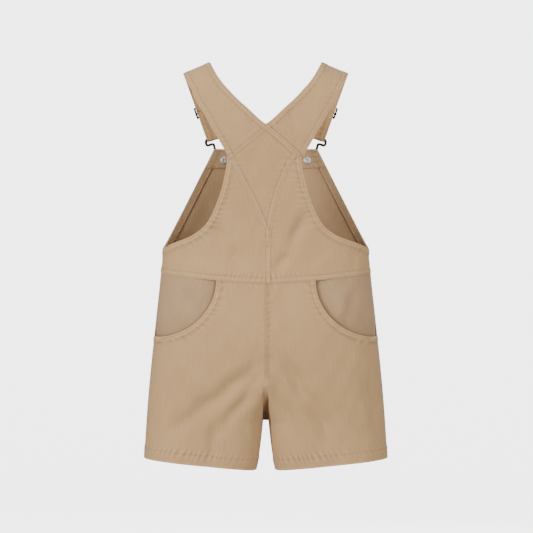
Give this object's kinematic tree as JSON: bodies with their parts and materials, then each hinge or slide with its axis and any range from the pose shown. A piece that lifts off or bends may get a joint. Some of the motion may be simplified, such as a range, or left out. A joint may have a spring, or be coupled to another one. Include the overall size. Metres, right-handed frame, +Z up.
{
  "type": "shortalls",
  "caption": "Toddler's khaki canvas bib shortalls with crossed back straps and hip pockets, filled out as worn, with neck, armholes and legs open.",
  "frame": {"origin": "midway between the tops of the two shoulder straps, where the wearer's shoulders hold the garment up", "axes": "+Z up the wearer, +Y to the wearer's front (the bib), +X to the wearer's right"},
  "size_m": [0.3084, 0.1251, 0.5149],
  "materials": {
    "canvas": "matte woven",
    "canvas_inside": "matte woven",
    "hardware": "dark satin",
    "rivet": "satin"
  },
  "bodies": {
    "root": {"back_panel_left": "canvas", "back_panel_right": "canvas", "strap_left": "canvas", "strap_right": "canvas", "front_bib": "canvas", "bib_facing": "canvas_inside", "back_leg_left": "canvas", "back_leg_right": "canvas", "front_leg_left": "canvas", "front_leg_right": "canvas", "pocket_facing_left": "canvas_inside", "pocket_facing_right": "canvas_inside", "buckle_left": "hardware", "buckle_right": "hardware", "slider_left": "hardware", "slider_right": "hardware", "button_left": "hardware", "button_right": "hardware", "rivet_left": "rivet", "rivet_right": "rivet"}
  },
  "joints": []
}
